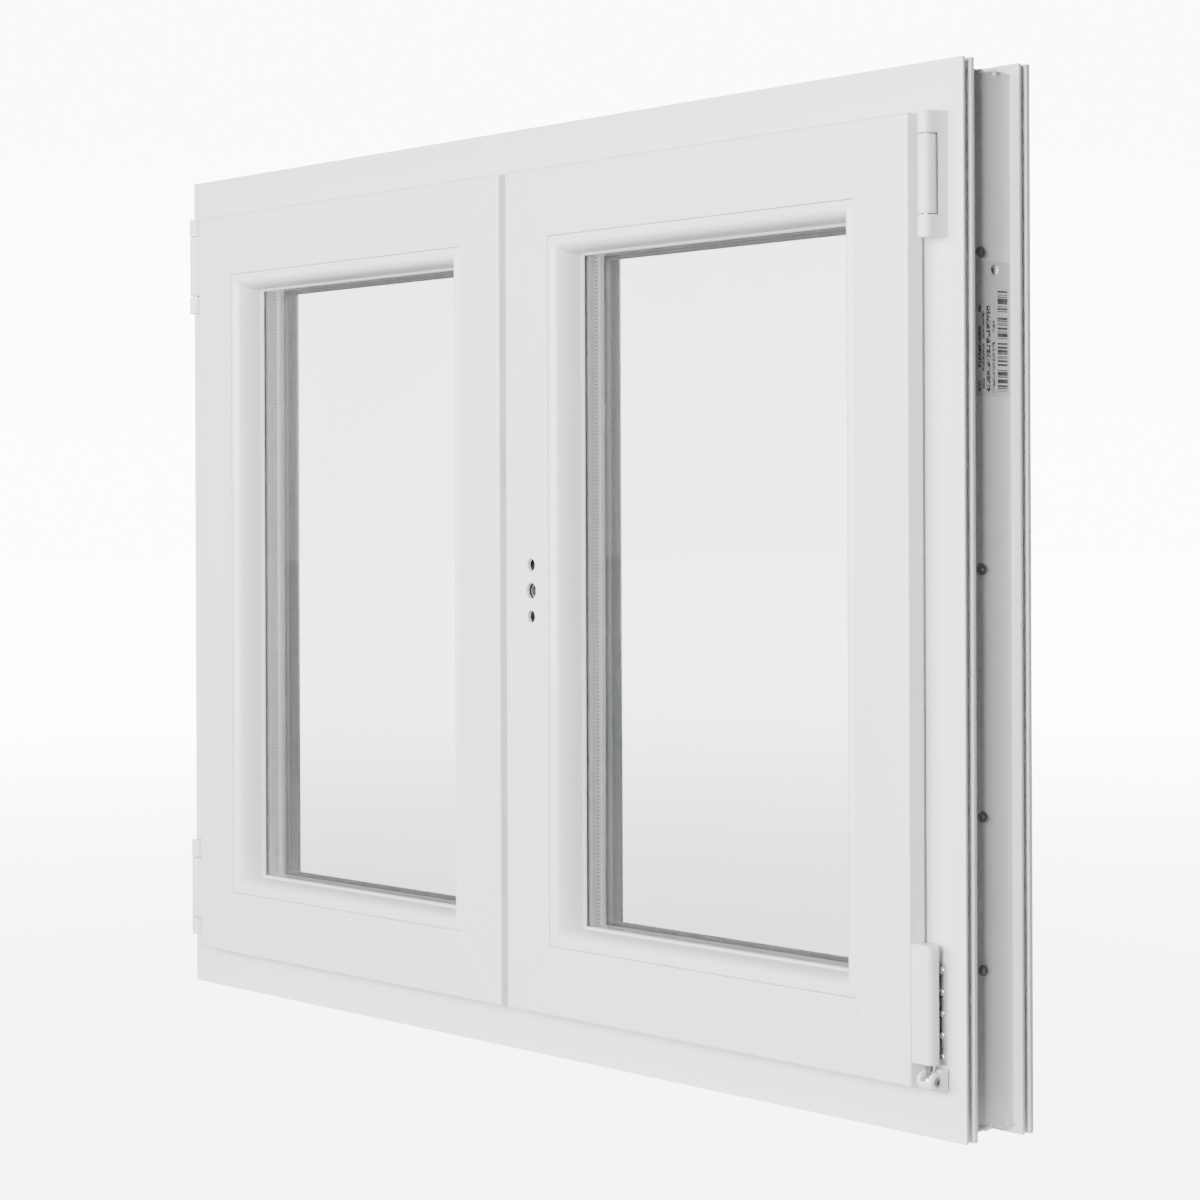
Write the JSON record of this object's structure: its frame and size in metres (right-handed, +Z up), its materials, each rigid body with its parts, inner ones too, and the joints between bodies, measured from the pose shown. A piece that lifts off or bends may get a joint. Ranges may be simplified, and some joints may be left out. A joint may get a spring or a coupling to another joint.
{
  "type": "casement window",
  "caption": "White two-leaf casement window with glazed leaves in a rebated frame; one leaf turns and tilts, the other turns.",
  "frame": {"origin": "bottom centre of the overall box: mid-width, mid-depth, lowest edge of the frame", "axes": "+X to the right seen from the room, +Y from the room to the outside, +Z up"},
  "size_m": [1.046, 0.0904, 0.78],
  "materials": {
    "white_pvc": "satin white extruded profile",
    "white_cover": "smooth white moulded cover",
    "grey_rubber": "matt grey seal",
    "clear_glass": "clear float glass",
    "spacer_aluminium": "perforated spacer bar",
    "edge_sealant": "dark sealant",
    "grey_plastic": "moulded grey plastic",
    "galvanised_steel": "zinc-plated steel",
    "bright_steel": "polished plated steel",
    "dark_steel": "dull plated steel",
    "label_film": "printed film"
  },
  "bodies": {
    "frame": {"frame_head": "white_pvc", "frame_sill": "white_pvc", "frame_jamb_left": "white_pvc", "frame_jamb_right": "white_pvc", "frame_reinforcement": "galvanised_steel", "frame_gasket": "grey_rubber", "reinforcement_screws": "dark_steel", "drain_caps": "white_cover", "frame_keeps": "galvanised_steel", "keep_screws": "bright_steel", "type_label": "label_film", "stay_bearing": "white_cover", "stay_bearing_pin": "bright_steel", "corner_bearing": "white_cover", "bearing_screw": "dark_steel", "corner_plate": "galvanised_steel", "left_hinge_brackets": "white_cover", "left_hinge_pins": "bright_steel"},
    "left_leaf": {"left_top_rail": "white_pvc", "left_bottom_rail": "white_pvc", "left_hinge_stile": "white_pvc", "left_meeting_stile": "white_pvc", "left_reinforcement": "galvanised_steel", "left_beads": "white_pvc", "left_room_pane": "clear_glass", "left_outer_pane": "clear_glass", "left_spacer": "spacer_aluminium", "left_edge_seal": "edge_sealant", "left_glazing_gaskets": "grey_rubber", "left_setting_blocks": "grey_plastic", "left_leaf_gasket": "grey_rubber", "left_hinge_bands": "white_cover", "astragal": "white_pvc", "astragal_caps": "grey_plastic", "astragal_keeps": "galvanised_steel"},
    "top_bolt": {"top_flush_bolt": "galvanised_steel"},
    "bottom_bolt": {"bottom_flush_bolt": "galvanised_steel"},
    "pivot": {"pivot_ball": "bright_steel"},
    "right_leaf": {"right_top_rail": "white_pvc", "right_bottom_rail": "white_pvc", "right_hinge_stile": "white_pvc", "right_meeting_stile": "white_pvc", "right_reinforcement": "galvanised_steel", "right_beads": "white_pvc", "right_room_pane": "clear_glass", "right_outer_pane": "clear_glass", "right_spacer": "spacer_aluminium", "right_edge_seal": "edge_sealant", "right_glazing_gaskets": "grey_rubber", "right_setting_blocks": "grey_plastic", "right_leaf_gasket": "grey_rubber", "right_hinge_band": "white_cover", "pivot_pin": "bright_steel", "meeting_profile": "white_pvc", "gear_faceplate": "galvanised_steel", "gearbox": "galvanised_steel", "stay_guide": "galvanised_steel"},
    "hub": {"handle_hub": "dark_steel"},
    "drive": {"drive_rod": "galvanised_steel"},
    "stay": {"stay_arm": "white_cover"}
  },
  "joints": [
    {"name": "left_turn", "type": "hinge", "parent": "frame", "child": "left_leaf", "pos_m": [-0.4983, -0.03825, 0.39], "axis": [0, 0, -1], "range_deg": [0, 95]},
    {"name": "right_turn", "type": "hinge", "parent": "frame", "child": "pivot", "pos_m": [0.4983, -0.03825, 0.39], "axis": [0, 0, 1], "range_deg": [0, 95]},
    {"name": "right_tilt", "type": "hinge", "parent": "pivot", "child": "right_leaf", "pos_m": [0.4983, -0.03825, 0.044], "axis": [1, 0, 0], "range_deg": [0, 8]},
    {"name": "stay_swing", "type": "hinge", "parent": "pivot", "child": "stay", "pos_m": [0.4983, -0.03825, 0.7], "axis": [0, 0, 1], "range_deg": [0, 21.4]},
    {"name": "handle_turn", "type": "hinge", "parent": "right_leaf", "child": "hub", "pos_m": [0.0395, -0.01725, 0.39], "axis": [0, 1, 0], "range_deg": [-90, 90]},
    {"name": "drive_slide", "type": "slide", "parent": "right_leaf", "child": "drive", "axis": [0, 0, 1], "range_m": [-0.0181, 0.0181]},
    {"name": "top_bolt_slide", "type": "slide", "parent": "left_leaf", "child": "top_bolt", "axis": [0, 0, 1], "range_m": [0, 0.018]},
    {"name": "bottom_bolt_slide", "type": "slide", "parent": "left_leaf", "child": "bottom_bolt", "axis": [0, 0, -1], "range_m": [0, 0.018]}
  ],
  "couplings": [
    {"joint": "stay_swing", "follows": "right_tilt", "ratio": 2.67},
    {"joint": "drive_slide", "follows": "handle_turn", "m_per_rad": 0.011459}
  ]
}
